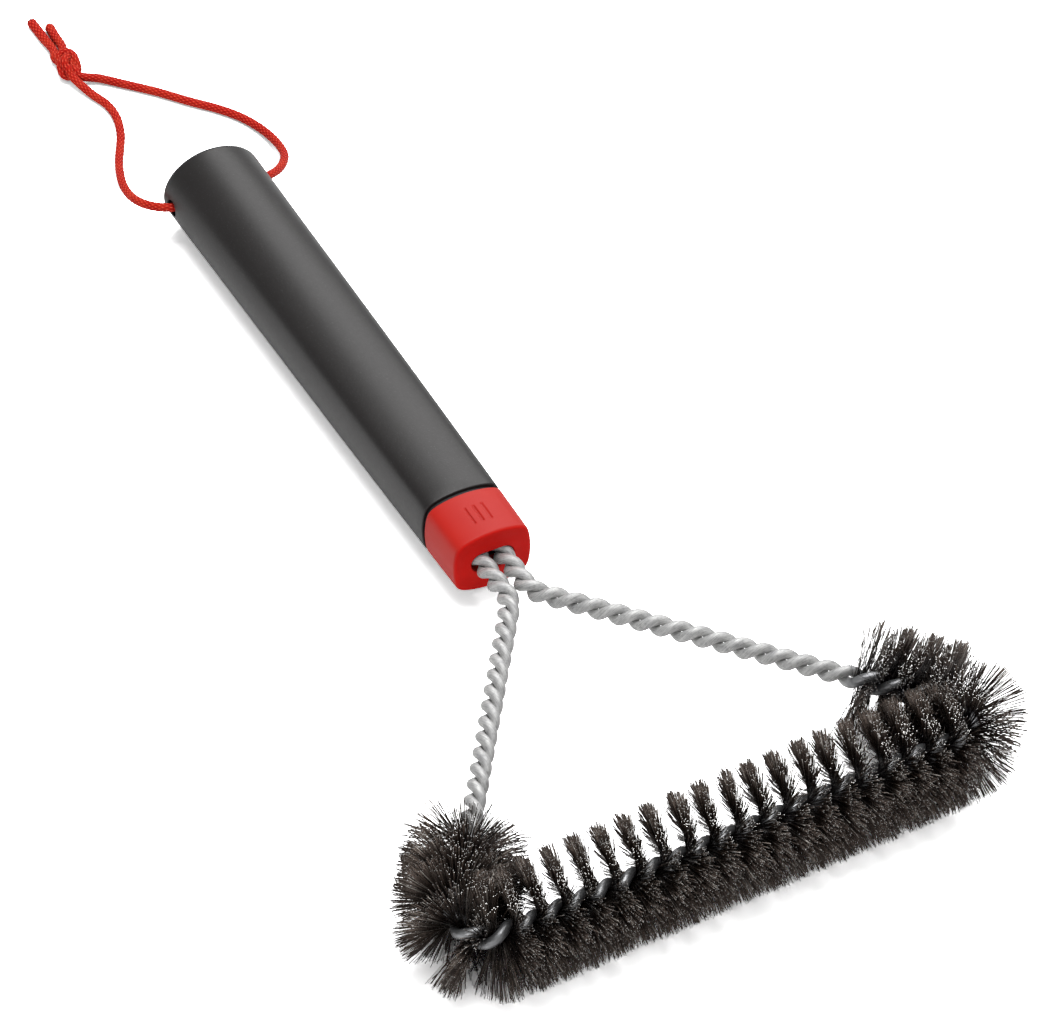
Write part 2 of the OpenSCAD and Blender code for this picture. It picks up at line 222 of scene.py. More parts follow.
def crowned(angles):
    """Radius of the crowned square section, relative to its half width."""
    c, s = np.abs(np.cos(angles)), np.abs(np.sin(angles))
    top = 2 / (s + np.sqrt(s * s + 4 * TOP_CROWN * c * c))
    side = 2 / (c + np.sqrt(c * c + 4 * SIDE_CROWN * s * s))
    return (top ** -CORNER_POWER + side ** -CORNER_POWER) ** (-1 / CORNER_POWER)


def level(xz, y):
    """Points (x, z) as a ring at y."""
    return np.stack([xz[:, 0], np.full(len(xz), y), xz[:, 1]], -1)


def section(y, angles, inset=0.0):
    """One closed ring of the handle at y, set inwards by inset."""
    t = (y - FACE_Y) / HANDLE_LEN
    half_w = NOSE_W / 2 + (BUTT_W - NOSE_W) / 2 * t - inset
    half_h = NOSE_H / 2 + (BUTT_H - NOSE_H) / 2 * t - inset
    r = crowned(angles)
    r = r + (1 - r) * max(0.0, t) ** FADE
    return level(np.stack([half_w * r * np.cos(angles), half_h * r * np.sin(angles)], -1), y)


def quarter_turn(count):
    return np.radians(np.linspace(0, 90, count))


def front_edge(y, angles, radius, count):
    """Rings round an outer edge whose front is at y, from front to back."""
    return [section(y + radius * (1 - math.cos(a)), angles, radius * (1 - math.sin(a)))
            for a in quarter_turn(count)]


def back_edge(y, angles, radius, count):
    """Rings round an outer edge whose back is at y, from front to back."""
    return [section(y - radius * (1 - math.sin(a)), angles, radius * (1 - math.cos(a)))
            for a in quarter_turn(count)]


# ------------------------------------------------------------------ sleeve

# half of the cord hole's cutter: (x, share of the flare)
HOLE_STATIONS = [(13.5, 0), (13.9, 0.04), (14.2, 0.25), (14.5, 0.62), (14.9, 1.1), (20, 1.1)]
HOLE_SIDES = 72


def build_hole_cutter():
    """A bar along x, flared where it leaves the sleeve on both sides."""
    a = np.arange(HOLE_SIDES) * 2 * math.pi / HOLE_SIDES
    rings = []
    for x, flare in [(-x, flare) for x, flare in HOLE_STATIONS[::-1]] + HOLE_STATIONS:
        r = HOLE_R - HOLE_TRIM + flare * MOUTH_FLARE
        rings.append(np.stack([np.full(HOLE_SIDES, x), -HOLE_Y + r * np.cos(a),
                               r * np.sin(a)], -1))
    return skin("cutter", rings)


def build_sleeve():
    angles = section_angles(64)
    # inside, from the closed end to the open front
    rings = [section(y, angles, WALL) for y in np.linspace(-BUTT_WALL, SLEEVE_Y, 8)]
    rings += front_edge(SLEEVE_Y, angles, RIM_R, 5)
    rings += [section(y, angles)
              for y in np.linspace(SLEEVE_Y + RIM_R, -BUTT_EDGE_R, 44)[1:-1]]
    rings += back_edge(0, angles, BUTT_EDGE_R, 13)
    # flat butt face
    edge = rings[-1]
    rings += [edge * [k, 1, k] for k in (0.94, 0.8, 0.6, 0.4, 0.2)]
    sleeve = skin("handle_sleeve_shell", rings, flip=True)

    cutter = build_hole_cutter()
    hole = sleeve.modifiers.new("hole", "BOOLEAN")
    hole.operation = "DIFFERENCE"
    hole.solver = "EXACT"
    hole.object = cutter
    apply_modifiers(sleeve)
    bpy.data.objects.remove(cutter)
    sleeve.data.shade_smooth()
    sleeve.data.set_sharp_from_angle(angle=radians(38))
    return sleeve


def apply_modifiers(obj):
    depsgraph = bpy.context.evaluated_depsgraph_get()
    mesh = bpy.data.meshes.new_from_object(obj.evaluated_get(depsgraph))
    old = obj.data
    obj.modifiers.clear()
    obj.data = mesh
    bpy.data.meshes.remove(old)


# ------------------------------------------------------------------ collar

POCKET_HALF_W, POCKET_HALF_H, POCKET_POWER = 8.9, 6.7, 3.4
FRONT_WALL = 4.6
SLOT_R, SLOT_LIP, SLOT_LIP_DEPTH = 3.0, 0.25, 2
FACE_DISH = 0.16
# three grooves on top
GROOVE_XS = (-2.4, 0, 2.4)
GROOVE_DEPTH, GROOVE_HALF_W, GROOVE_FLANK = 0.3, 0.42, 0.26
GROOVE_START, GROOVE_END, GROOVE_RAMP = 4.9, 11.5, 0.35    # back from the face


def stadium(angles, radius):
    """Outline (x, z) of a slot round both legs of the stem."""
    c, s = np.abs(np.cos(angles)), np.abs(np.sin(angles))
    flat = radius / np.maximum(s, 1e-9)
    on_flat = flat * c <= LEG_X
    end = LEG_X * c + np.sqrt(np.maximum(radius * radius - (LEG_X * s) ** 2, 0))
    r = np.where(on_flat, flat, end)
    return np.stack([r * np.cos(angles), r * np.sin(angles)], -1)


def pocket_outline(angles):
    c, s = np.cos(angles), np.sin(angles)
    r = (np.abs(c / POCKET_HALF_W) ** POCKET_POWER
         + np.abs(s / POCKET_HALF_H) ** POCKET_POWER) ** (-1 / POCKET_POWER)
    return np.stack([r * c, r * s], -1)


def grooved_section(y, angles):
    ring = section(y, angles)
    normal = unit(np.stack([ring[:, 0] / (NOSE_W / 2) ** 2,
                            ring[:, 2] / (NOSE_H / 2) ** 2], -1))
    ends = smoothstep((y - FACE_Y - GROOVE_START) / GROOVE_RAMP) * smoothstep(
        (FACE_Y + GROOVE_END - y) / GROOVE_RAMP)
    depth = np.zeros(len(angles))
    for x in GROOVE_XS:
        across = smoothstep((GROOVE_HALF_W - np.abs(ring[:, 0] - x)) / GROOVE_FLANK)
        depth = np.maximum(depth, GROOVE_DEPTH * across * ends * (ring[:, 2] > 0))
    ring[:, 0] -= normal[:, 0] * depth
    ring[:, 2] -= normal[:, 1] * depth
    return ring


def build_collar():
    angles = section_angles(150)
    pocket, slot = pocket_outline(angles), stadium(angles, SLOT_R)
    floor_y = FACE_Y + FRONT_WALL
    # pocket, from the rear edge forwards, and its floor
    rings = [level(pocket, SEAM_Y), level(pocket, floor_y)]
    rings += [level(slot * (1 - k) + pocket * k, floor_y) for k in (0.6, 0.2)]
    # slot through the front wall, with a rounded lip
    rings += [level(slot, floor_y), level(slot, FACE_Y + SLOT_LIP_DEPTH)]
    for a in quarter_turn(7):
        rings.append(level(stadium(angles, SLOT_R + SLOT_LIP * (1 - math.cos(a))),
                           FACE_Y + SLOT_LIP * (1 - math.sin(a))))
    # slightly dished front face, out to the edge radius
    inner = rings[-1]
    outer = section(FACE_Y, angles, COLLAR_EDGE_R)
    for k in np.linspace(0, 1, 14)[1:-1]:
        ring = inner * (1 - k) + outer * k
        ring[:, 1] = FACE_Y + FACE_DISH * math.sin(math.pi * k) ** 2
        rings.append(ring)
    rings += front_edge(FACE_Y, angles, COLLAR_EDGE_R, 11)
    rings += [grooved_section(y, angles)
              for y in np.linspace(FACE_Y + COLLAR_EDGE_R, SEAM_Y - SEAM_R, 76)[1:-1]]
    rings += back_edge(SEAM_Y, angles, SEAM_R, 6)
    # the rear annulus joins the last ring to the first
    sides = len(angles)
    last = (len(rings) - 1) * sides
    a = np.arange(sides)
    b = (a + 1) % sides
    collar = mesh_object("collar_moulding", np.concatenate(rings), [
        ring_quads(len(rings), sides), np.stack([last + a, last + b, b, a], -1)])
    collar.data.set_sharp_from_angle(angle=radians(50))
    return collar


# ------------------------------------------------------------------ stem path

# The centre line runs from the left leg round the head to the right leg: five
# straights between the corners (x, y), joined by arcs.
LEFT_ANGLE, RIGHT_ANGLE = radians(FORK_HALF - HEAD_SET), radians(FORK_HALF + HEAD_SET)
FORK = np.array([0, FACE_Y - FORK_OUT])
CORNERS = [
    np.array([-LEG_X, FACE_Y + STEM_IN]),
    FORK + LEG_X * np.array([-1, -1 / math.tan(LEFT_ANGLE)]),
    FORK + ARM * np.array([-math.sin(LEFT_ANGLE), -math.cos(LEFT_ANGLE)]),
    FORK + ARM * np.array([math.sin(RIGHT_ANGLE), -math.cos(RIGHT_ANGLE)]),
    FORK + LEG_X * np.array([1, -1 / math.tan(RIGHT_ANGLE)]),
    np.array([LEG_X, FACE_Y + STEM_IN])]
BEND_R = [0, FORK_R, CORNER_R, CORNER_R, FORK_R, 0]


def heading(i):
    step = CORNERS[i + 1] - CORNERS[i]
    return math.atan2(step[1], step[0])


def wrap(angle):
    return (angle + math.pi) % (2 * math.pi) - math.pi


BEND = [0] + [wrap(heading(i) - heading(i - 1)) for i in range(1, 5)] + [0]
TRIM = [BEND_R[i] * math.tan(abs(BEND[i]) / 2) for i in range(6)]   # corner to arc end
STRAIGHT = [np.linalg.norm(CORNERS[i + 1] - CORNERS[i]) - TRIM[i] - TRIM[i + 1]
            for i in range(5)]
ARC = [BEND_R[i] * abs(BEND[i]) for i in range(6)]
START = [0.0]                           # path length where each straight starts
for _i in range(1, 5):
    START.append(START[-1] + STRAIGHT[_i - 1] + ARC[_i])
STEM_LEN = START[4] + STRAIGHT[4]


def seat(s):
    """Centre line at path lengths s: x, y and heading."""
    x, y, head = np.zeros_like(s), np.zeros_like(s), np.zeros_like(s)
    done = np.zeros(len(s), bool)
    for i in range(5):
        angle = heading(i)
        ahead = np.array([math.cos(angle), math.sin(angle)])
        begin = CORNERS[i] + ahead * TRIM[i]
        on = ~done & ((s <= START[i] + STRAIGHT[i]) | (i == 4))
        run = s[on] - START[i]
        x[on], y[on], head[on] = begin[0] + ahead[0] * run, begin[1] + ahead[1] * run, angle
        done |= on
        if i == 4:
            break
        on = ~done & (s < START[i] + STRAIGHT[i] + ARC[i + 1])
        sign, radius = np.sign(BEND[i + 1]), BEND_R[i + 1]
        turned = angle + sign * ((s[on] - START[i] - STRAIGHT[i]) / radius)
        centre = begin + ahead * STRAIGHT[i] + sign * radius * np.array(
            [-math.sin(angle), math.cos(angle)])
        x[on] = centre[0] + sign * radius * np.sin(turned)
        y[on] = centre[1] - sign * radius * np.cos(turned)
        head[on] = turned
        done |= on
    return x, y, head


# path lengths where the bends of the two head corners and the pack start and end
LEFT_BEND_START, LEFT_BEND_END = START[1] + STRAIGHT[1], START[2]
RIGHT_BEND_START, RIGHT_BEND_END = START[2] + STRAIGHT[2], START[3]
BAR_MID = (LEFT_BEND_END + RIGHT_BEND_START) / 2
PACK_START = LEFT_BEND_START - (PACK_ARM - TRIM[2])
PACK_END = RIGHT_BEND_END + (PACK_ARM - TRIM[3])
# turns of the twist up to the pack's start, its end and the whole stem
TURNS_START = PACK_START / BARE_PITCH
TURNS_END = TURNS_START + (PACK_END - PACK_START) / PACK_PITCH
TURNS_ALL = TURNS_END + (STEM_LEN - PACK_END) / BARE_PITCH


def length_at(turns):
    return np.where(turns < TURNS_START, turns * BARE_PITCH,
                    np.where(turns < TURNS_END, PACK_START + (turns - TURNS_START) * PACK_PITCH,
                             PACK_END + (turns - TURNS_END) * BARE_PITCH))


def turns_at(s):
    return np.where(s < PACK_START, s / BARE_PITCH,
                    np.where(s < PACK_END, TURNS_START + (s - PACK_START) / PACK_PITCH,
                             TURNS_END + (s - PACK_END) / BARE_PITCH))


def pitch_at(s):
    return np.where((s < PACK_START) | (s > PACK_END), BARE_PITCH, PACK_PITCH)


def twist_frame(s, turns, phase):
    """Centre line, its tangent, the direction out to a strand, and the direction
    square to both."""
    x, y, head = seat(s)
    angle = phase - 2 * math.pi * turns
    tangent = np.stack([np.cos(head), np.sin(head), 0 * head], -1)
    side = np.stack([-np.sin(head), np.cos(head), 0 * head], -1)
    up = np.array([0, 0, 1.0])
    radial = side * np.cos(angle)[:, None] + up * np.sin(angle)[:, None]
    swing = -side * np.sin(angle)[:, None] + up * np.cos(angle)[:, None]
    return np.stack([x, y, 0 * x], -1), tangent, radial, swing


# ------------------------------------------------------------------ strands

STRAND_GAP, PACK_GAP = 0.05, 0.15       # off the axis, and more in the pack
GAP_EASE = 6
STRAND_STEPS, STRAND_SIDES = 32, 22     # steps per turn
WOBBLE, WOBBLE_RATE = 0.006, 0.9        # drawn wire is not perfectly round
# the wire's painted pack shade starts this far outside the pack and fades in over the second
# length
DARK_LEAD, DARK_EASE = 2, 5             # dark wire outside the pack, and its fade


def build_strand(name, phase):
    steps = int(TURNS_ALL * STRAND_STEPS)
    turns = TURNS_ALL * np.arange(steps + 1) / steps
    s = length_at(turns)
    centre, tangent, radial, swing = twist_frame(s, turns, phase)
    offset = WIRE_D / 2 + STRAND_GAP + PACK_GAP * smoothstep(
        (s - PACK_START) / GAP_EASE + 0.5) * smoothstep((PACK_END - s) / GAP_EASE + 0.5)
    direction = unit(tangent - swing * (2 * math.pi * offset / pitch_at(s))[:, None])
    across = np.cross(direction, radial)
    centre = centre + radial * offset[:, None]
    around = -2 * math.pi * np.arange(STRAND_SIDES) / STRAND_SIDES
    wobble = 1 + WOBBLE * np.sin(s * WOBBLE_RATE + phase)[:, None] * np.cos(2 * around)[None]
    points = centre[:, None] + (WIRE_D / 2 * wobble)[..., None] * (
        radial[:, None] * np.cos(around)[None, :, None]
        + across[:, None] * np.sin(around)[None, :, None])
    strand = tube(name, points, centre[[0, -1]], tiles=8, flat_groups=(1, 2))
    # painted shade: how strongly the pack's shade is painted on the wire, kept in the in_pack
    # attribute
    dark = smoothstep((s - PACK_START + DARK_LEAD) / DARK_EASE) * smoothstep(
        (PACK_END + DARK_LEAD - s) / DARK_EASE)
    angle = np.tile(-around, steps + 1)
    add_attribute(strand, "lengthwise", np.repeat(s, STRAND_SIDES), [0, STEM_LEN])
    add_attribute(strand, "round_c", np.cos(angle), [0, 0])
    add_attribute(strand, "round_s", np.sin(angle), [0, 0])
    add_attribute(strand, "in_pack", np.repeat(dark, STRAND_SIDES), [0, 0])
    return strand


# ------------------------------------------------------------------ filaments

# WORN points to the front, left and up, PROUD to the back, right and up. Ends on
# the PROUD side stand in fins; those away from it lie looser.
WORN = np.array([-0.333, -0.656, 0.677])
PROUD = np.array([0.306, 0.603, 0.737])
# Angles in degrees. Tilt is along the stem, turn is across it. Pairs are the
# amount where filaments stand and what is added where they are loose.
TILT_RANGE, TILT_NOISE, TURN_NOISE = (5.8, 6.2), (1.3, 2.2), (2.8, 2.0)
CLUMP_TILT, CLUMP_TURN, TUFT_TILT = 0.9, 1.2, 3.0
WILD_SHARE, WILD_TILT, WILD_TURN = 0.03, 11, 12
CLUMP_LEN = 0.8
# slow drift of the tips along the stem
DRAG, DRAG_ORIGIN, DRAG_PERIOD = 1.25, 228, 150
# how far ends are drawn back over their fin, for negative and positive angles
GATHER_NEGATIVE, GATHER_POSITIVE = 0.32, 0.46
COMB_BASE, COMB_RISE, COMB_EASE = 0.35, 0.65, 7
WIRE_R, WILD_R = 0.078, 0.052
BOW_ALONG, BOW_ACROSS = 0.34, 0.26
TIP_SHORT = 0.4                         # mean tip, in from the pack radius
REACHES = (0.14, 0.58, 1.0)             # rings of a half filament
FILAMENT_SIDES = 3
# place along the filament in the unwrapping, from tip to tip; cut tips at TIP_U
ALONG_U = np.array([0.94, 0.58, 0.14, 0.14, 0.58, 0.94])
TIP_U = 0.985


def scatter(amounts, free):
    return radians(amounts[0]) + radians(amounts[1]) * free


class Filaments:
    """Filaments pinched between the strands from path length start to end.

    thin is the length over which they get sparse at each end, or 0. comb gathers
    the standing ones into fins, comb_low does so on the far side too, and loose is
    the least looseness of any of them."""

    def __init__(self, start, end, per_mm, seed, thin, comb, comb_low, loose):
        self.rng = rng = np.random.default_rng(seed)
        count = int((end - start) * per_mm)
        s = np.sort(rng.uniform(start, end, count))
        keep = np.ones(count, bool)
        if thin[0]:
            keep &= rng.random(count) < np.clip((s - start) / thin[0], 0.06, 1)
        if thin[1]:
            keep &= rng.random(count) < np.clip((end - s) / thin[1], 0.06, 1)
        s = s[keep]
        self.count = count = len(s)
        turns = turns_at(s)
        centre, self.tangent, self.radial, self.swing = twist_frame(s, turns, TWIST)
        self.centre = centre + self.radial * rng.uniform(-0.12, 0.12, count)[:, None]
        # clumps: neighbours lean together
        clumps = int((end - start) / CLUMP_LEN) + 3
        knots = rng.normal(0, 1, (clumps, 4))
        place = (s - start) / (end - start) * (clumps - 1.001)
        k = place.astype(int)
        share = (place - k)[:, None]
        self.lean = knots[k] * (1 - share) + knots[k + 1] * share
        # each tuft stands a little its own way, from a hash of its number
        tuft_no = np.floor(turns * 2 + 0.35)
        self.tuft = np.sin(tuft_no * 12.9898 + 4.1) * 43758.5453 % 1.0 - 0.5
        self.wild = rng.random(count) < WILD_SHARE
        self.radius = np.where(self.wild, WILD_R,
                               rng.normal(WIRE_R, 0.008, count).clip(0.062, 0.1))
        # the shears leave a small burr on the cut tips
        self.burr = 1.04 + 0.55 * rng.random(count) ** 2
        self.drag = DRAG * np.sin(2 * math.pi * (s - DRAG_ORIGIN) / DRAG_PERIOD)
        # directions across the stem: towards the worn side and square to it
        worn_part = self.tangent @ WORN
        self.front = unit(WORN[None] - self.tangent * worn_part[:, None])
        stand = np.cross(self.tangent, self.front)
        self.stand = stand * np.sign(stand @ PROUD)[:, None]
        self.sense = np.sign(np.einsum(
            "ij,ij->i", np.cross(self.stand, self.front), self.tangent))
        self.pitch = pitch_at(s)
        # a full comb fades at both ends of the bar, a partial one only at the left
        right_fade = smoothstep((RIGHT_BEND_START + 1 - s) / COMB_EASE) if comb == 1.0 else 1
        self.comb = comb * (COMB_BASE + COMB_RISE * smoothstep(
            (s - LEFT_BEND_END) / COMB_EASE) * right_fade)
        self.comb_low, self.loose = comb_low, loose
        self.slant = -worn_part
        self.across = np.sqrt(1 - self.slant * self.slant)

    def gather(self, angle):
        """Lean that pulls an end at this angle back over its own fin."""
        back = (self.slant * PACK_R * np.sin(angle)
                - self.sense * angle * self.across * self.pitch / (2 * math.pi))
        amount = np.where(angle < 0, GATHER_NEGATIVE, GATHER_POSITIVE)
        return -amount * back / (self.across * PACK_R)

    def angles(self, side):
        """Tilt and turn of the ends on one side (-1 or 1)."""
        rng, count = self.rng, self.count
        column = 0 if side < 0 else 2
        out = side * self.swing
        around = np.arctan2(np.einsum("ij,ij->i", out, self.front),
                            np.einsum("ij,ij->i", out, self.stand))
        folded = (around + 1.5 * math.pi) % math.pi - math.pi / 2
        standing = 1 - smoothstep((np.abs(around) - radians(80)) / radians(35))
        low = (1 - standing) * (
            1 - smoothstep((np.abs(folded) - radians(50)) / radians(40)))
        free = np.maximum(self.loose,
                          smoothstep((np.abs(around) - radians(85)) / radians(55)))
        held = 1 - free
        tilt = (rng.uniform(-1, 1, count) * scatter(TILT_RANGE, free)
                + rng.normal(0, 1, count) * scatter(TILT_NOISE, free)
                + self.lean[:, column] * radians(CLUMP_TILT) * held
                + self.tuft * side * radians(TUFT_TILT) * held
                + self.drag / PACK_R + self.comb * standing * self.gather(around))
        tilt = tilt - self.comb * self.comb_low * low * self.gather(folded)
        turn = (rng.normal(0, 1, count) * scatter(TURN_NOISE, free)
                + self.lean[:, column + 1] * radians(CLUMP_TURN) * held)
        tilt = np.where(self.wild, rng.normal(0, radians(WILD_TILT), count), tilt)
        turn = np.where(self.wild, rng.normal(0, radians(WILD_TURN), count), turn)
        return tilt, turn

    def half(self, side):
        """Ring centres from the stem to the tip, and two directions across."""
        rng, count = self.rng, self.count
        tilt, turn = self.angles(side)
        out = unit(side * self.swing + self.tangent * np.tan(tilt)[:, None]
                   + self.radial * np.tan(turn)[:, None])
        first = unit(np.cross(out, self.tangent))
        second = np.cross(out, first)
        length = PACK_R - TIP_SHORT + rng.normal(0, 0.6, count).clip(-2.4, 0.85)
        length = np.where(self.wild, length - rng.uniform(0, 2.5, count), length)
        bow_first = rng.normal(0, BOW_ALONG, count)
        bow_second = rng.normal(0, BOW_ACROSS, count)
        points = [self.centre + out * (length * reach)[:, None]
                  + first * (bow_first * (reach * reach))[:, None]
                  + second * (bow_second * (reach * reach))[:, None] for reach in REACHES]
        return points, first, second


def build_filaments(name, *settings):
    pack = Filaments(*settings)
    count, sides = pack.count, FILAMENT_SIDES
    near, near_first, near_second = pack.half(-1)
    far, far_first, far_second = pack.half(1)
    # from one tip, through the stem, to the other tip
    line = near[::-1] + far
    across = [(near_first, near_second)] * 3 + [(far_first, -far_second)] * 3
    rings = len(line)
    verts = np.zeros((count, rings, sides, 3))
    for i, (first, second) in enumerate(across):
        r = pack.radius * (pack.burr if i in (0, rings - 1) else 1)
        for j in range(sides):
            a = 2 * math.pi * j / sides
            verts[:, i, j] = line[i] + r[:, None] * (
                first * math.cos(a) + second * math.sin(a))
    # nothing goes under the ground that the brush lies on
    verts[..., 2] = np.maximum(verts[..., 2], ground(verts[..., 1]) + 0.03)

    base = np.arange(count) * rings * sides
    last = base + (rings - 1) * sides
    quads = (base[:, None, None] + ring_quads(rings, sides)[None]).reshape(-1, 4)
    obj = mesh_object(name, verts.reshape(-1, 3), [
        quads, np.stack([base + 2, base + 1, base], -1),
        np.stack([last, last + 1, last + 2], -1)], flat_groups=(1, 2))
    # the unwrapping holds the place along the filament and a shade of its own
    along = np.tile(np.repeat(ALONG_U, sides), count)
    shade = np.repeat(pack.rng.random(count), rings * sides)
    index = np.zeros(len(obj.data.loops), np.int32)
    obj.data.loops.foreach_get("vertex_index", index)
    u = 0.02 + 0.96 * along[index]
    u[len(quads) * 4:] = TIP_U
    add_uv(obj, np.stack([u, 0.02 + 0.96 * shade[index]], -1))
    return obj


# ------------------------------------------------------------------ cord


def lie(x, y, lift=0.0):
    """A point of the cord on the ground, raised by lift."""
    return [x, y, ground(y) + CORD_D / 2 + 0.12 + lift]


def lie_all(rows):
    return [lie(*row) for row in rows]


# Rows are (x, y, lift) on the ground, or (x, y, z) for the parts named HOLE.
LEFT_LEG = [(-8.6, 59, 0.2), (-6.5, 52.6), (-6.4, 46.6), (-8.3, 39.7), (-10.9, 34.4, 0.4),
            (-13.9, 28.6, 1.2), (-16.8, 21.6, 2.8), (-18.9, 14.6, 4.6), (-19.8, 7.8, 6.6),
            (-19.4, 2.2, 8.5)]
HOLE_LEFT = [[-17.9, -1.6, -1], [-16.3, -3.9, -0.3], [-14.6, -HOLE_Y + 0.6, 0]]
HOLE_THROUGH = [[-12.6, -HOLE_Y, 0], [0, -HOLE_Y, 0], [12.6, -HOLE_Y, 0]]
HOLE_RIGHT = [[14.7, -HOLE_Y + 0.5, -0.2], [16.8, -4.1, -1.2], [19.8, -1.4, -3]]
RIGHT_LEG = [(23.4, 2.9, 5.4), (26.4, 8.6, 3.2), (27.5, 17, 1.2), (26.6, 24.6, 0.2),
             (24, 31.2), (20.3, 36.7), (14.1, 43.8), (8.1, 51.2), (1.7, 58),
             (-3.7, 63.2, 0.3)]
LEFT_TAIL = [(-10.4, 94.2), (-10.2, 86), (-10.4, 79, 0.8)]      # from the tip
RIGHT_TAIL = [(-7.6, 79.4, 0.8), (-7.1, 85.4), (-6.7, 90.8)]    # to the tip

# overhand knot: centre, axes (backwards, left, up) and points on those axes
KNOT = np.array(lie(-10.1, 70.8, 2.0))
KNOT_BACK = np.array([-0.06, 0.998, 0.0])
KNOT_LEFT = np.array([-0.998, -0.06, 0.0])
UP = np.array([0, 0, 1.0])
KNOT_POINTS = [
    (-5.0, 0.2, -0.7), (-3.0, 0.2, 0.8), (0.2, 0.7, -1.2), (2.9, 0.4, 0.1),
    (2.4, -1.5, 1.3), (-0.4, -1.7, 0.5), (-2.7, -0.8, -1.1), (-2.4, 1.5, -0.7),
    (-0.3, 1.5, 1.4), (1.3, -0.1, 1.2), (3.2, -0.4, -0.9), (5.4, 0.1, -1.0)]
KNOT_OFFSET = 1.02      # of each of the two cords from the knot's middle line
KNOT_STRIDE = 6         # every sixth point of the knot guides the cord

CORD_SIDES = 40
YARNS, BRAID_PITCH = 8, 1.9
BRAID_IN, BRAID_RELIEF = 0.15, 0.19     # valleys below the radius, height of a yarn


def between(t, t_a, a, t_b, b):
    return (t_b - t) / (t_b - t_a) * a + (t - t_a) / (t_b - t_a) * b


def spline(points, step):
    """Centripetal spline through points, resampled at an even step."""
    points = np.asarray(points, float)
    points = np.concatenate([[2 * points[0] - points[1]], points,
                             [2 * points[-1] - points[-2]]])
    parts = []
    for i in range(1, len(points) - 2):
        span = list(points[i - 1:i + 3])
        knots = [0.0]
        for a, b in zip(span, span[1:]):
            knots.append(knots[-1] + max(np.linalg.norm(b - a), 1e-6) ** 0.5)
        t = np.linspace(knots[1], knots[2], 24, endpoint=False)[:, None]
        for gap in (1, 2):
            span = [between(t, knots[k], span[k], knots[k + gap], span[k + 1])
                    for k in range(len(span) - 1)]
        parts.append(between(t, knots[1], span[0], knots[2], span[1]))
    parts.append(points[-2][None])
    return resample(np.concatenate(parts), step)


def path_lengths(line):
    steps = np.linalg.norm(np.diff(line, axis=0), axis=1)
    return np.concatenate([[0], np.cumsum(steps)])


def resample(line, step):
    lengths = path_lengths(line)
    count = max(2, int(round(lengths[-1] / step)))
    even = np.linspace(0, lengths[-1], count + 1)
    return np.stack([np.interp(even, lengths, line[:, k]) for k in range(3)], -1)


def knot_line(offset):
    """One of the two cords through the knot, moved sideways by offset."""
    line = spline([KNOT + KNOT_BACK * a + KNOT_LEFT * b + UP * c
                   for a, b, c in KNOT_POINTS], 0.25)
    tangent = unit(np.gradient(line, axis=0))
    side = np.cross(UP, tangent)
    side /= np.maximum(np.linalg.norm(side, axis=1), 1e-6)[:, None]
    # roll the pair a little as it goes round, so it doesn't lie like a ribbon
    f = np.linspace(0, 1, len(line))[:, None]
    roll = 0.9 * np.sin(math.pi * f * 2.0)
    side = side * np.cos(roll) + np.cross(tangent, side) * np.sin(roll)
    return line + side * offset * (1 - 0.25 * np.sin(math.pi * f))


def cord_path():
    left_knot = knot_line(KNOT_OFFSET)[::-1]
    right_knot = knot_line(-KNOT_OFFSET)
    return spline(
        lie_all(LEFT_TAIL) + left_knot[::KNOT_STRIDE].tolist() + lie_all(LEFT_LEG)
        + HOLE_LEFT + HOLE_THROUGH + HOLE_RIGHT + lie_all(RIGHT_LEG)
        + right_knot[::KNOT_STRIDE].tolist() + lie_all(RIGHT_TAIL), 0.2)


def carried_normals(tangent):
    """Normals carried along the line without twist."""
    normal = np.zeros_like(tangent)
    start = np.cross([0.2, 0.1, 1.0], tangent[0])
    normal[0] = start / np.linalg.norm(start)
    for i in range(1, len(tangent)):
        v = normal[i - 1] - tangent[i] * np.dot(normal[i - 1], tangent[i])
        normal[i] = v / np.linalg.norm(v)
    return normal


def braid_height(around, s):
    """Yarns wound both ways, over one and under one: 0 in valleys, 1 on crowns."""
    one = YARNS * around[None] / (2 * math.pi) + s[:, None] / BRAID_PITCH
    other = YARNS * around[None] / (2 * math.pi) - s[:, None] / BRAID_PITCH
    one_bulge, other_bulge = np.sin(math.pi * (one % 1.0)), np.sin(math.pi * (other % 1.0))
    one_on_top = (np.floor(one) + np.floor(other)) % 2 < 1
    return np.where(one_on_top, one_bulge ** 0.7 * (0.35 + 0.65 * other_bulge),
                    other_bulge ** 0.7 * (0.35 + 0.65 * one_bulge))


